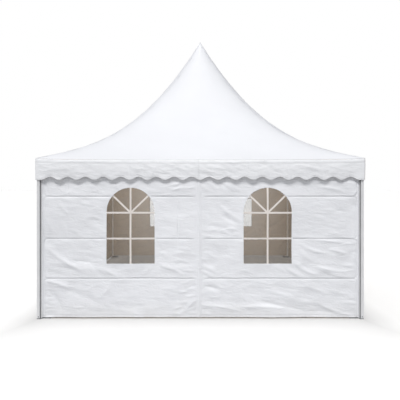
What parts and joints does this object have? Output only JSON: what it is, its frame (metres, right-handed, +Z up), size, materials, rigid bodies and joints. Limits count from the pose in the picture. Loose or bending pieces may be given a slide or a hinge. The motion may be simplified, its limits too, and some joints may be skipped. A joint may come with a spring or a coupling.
{
  "type": "pagoda marquee tent",
  "caption": "Square pagoda marquee: peaked membrane roof on a flying mast, scalloped valance, slim metal posts and closed fabric walls with arched clear windows.",
  "frame": {"origin": "on the ground, in the middle of the square plan", "axes": "+Z up, the front wall faces -Y, +X to the right as seen from the front"},
  "size_m": [5.034, 5.034, 5.1297],
  "materials": {
    "white_pvc": "white PVC-coated polyester, satin and wrinkled",
    "clear_film": "clear flexible PVC film",
    "anodised_aluminium": "anodised, satin",
    "galvanised_steel": "hot-dip galvanised",
    "steel_cable": "stranded wire"
  },
  "bodies": {
    "root": {"front_roof_panel": "white_pvc", "right_roof_panel": "white_pvc", "back_roof_panel": "white_pvc", "left_roof_panel": "white_pvc", "front_valance": "white_pvc", "right_valance": "white_pvc", "back_valance": "white_pvc", "left_valance": "white_pvc", "front_wall_left": "white_pvc", "front_wall_right": "white_pvc", "right_wall_left": "white_pvc", "right_wall_right": "white_pvc", "back_wall_left": "white_pvc", "back_wall_right": "white_pvc", "left_wall_left": "white_pvc", "left_wall_right": "white_pvc", "front_window_left": "clear_film", "front_window_right": "clear_film", "right_window_left": "clear_film", "right_window_right": "clear_film", "back_window_left": "clear_film", "back_window_right": "clear_film", "left_window_left": "clear_film", "left_window_right": "clear_film", "front_eave_beam": "anodised_aluminium", "right_eave_beam": "anodised_aluminium", "back_eave_beam": "anodised_aluminium", "left_eave_beam": "anodised_aluminium", "front_left_post": "anodised_aluminium", "front_right_post": "anodised_aluminium", "back_right_post": "anodised_aluminium", "back_left_post": "anodised_aluminium", "mast": "anodised_aluminium", "front_left_base_plate": "galvanised_steel", "front_right_base_plate": "galvanised_steel", "back_right_base_plate": "galvanised_steel", "back_left_base_plate": "galvanised_steel", "front_left_bracket": "galvanised_steel", "front_right_bracket": "galvanised_steel", "back_right_bracket": "galvanised_steel", "back_left_bracket": "galvanised_steel", "mast_head": "galvanised_steel", "cable_hub": "galvanised_steel", "front_left_cable": "steel_cable", "front_right_cable": "steel_cable", "back_right_cable": "steel_cable", "back_left_cable": "steel_cable"}
  },
  "joints": []
}
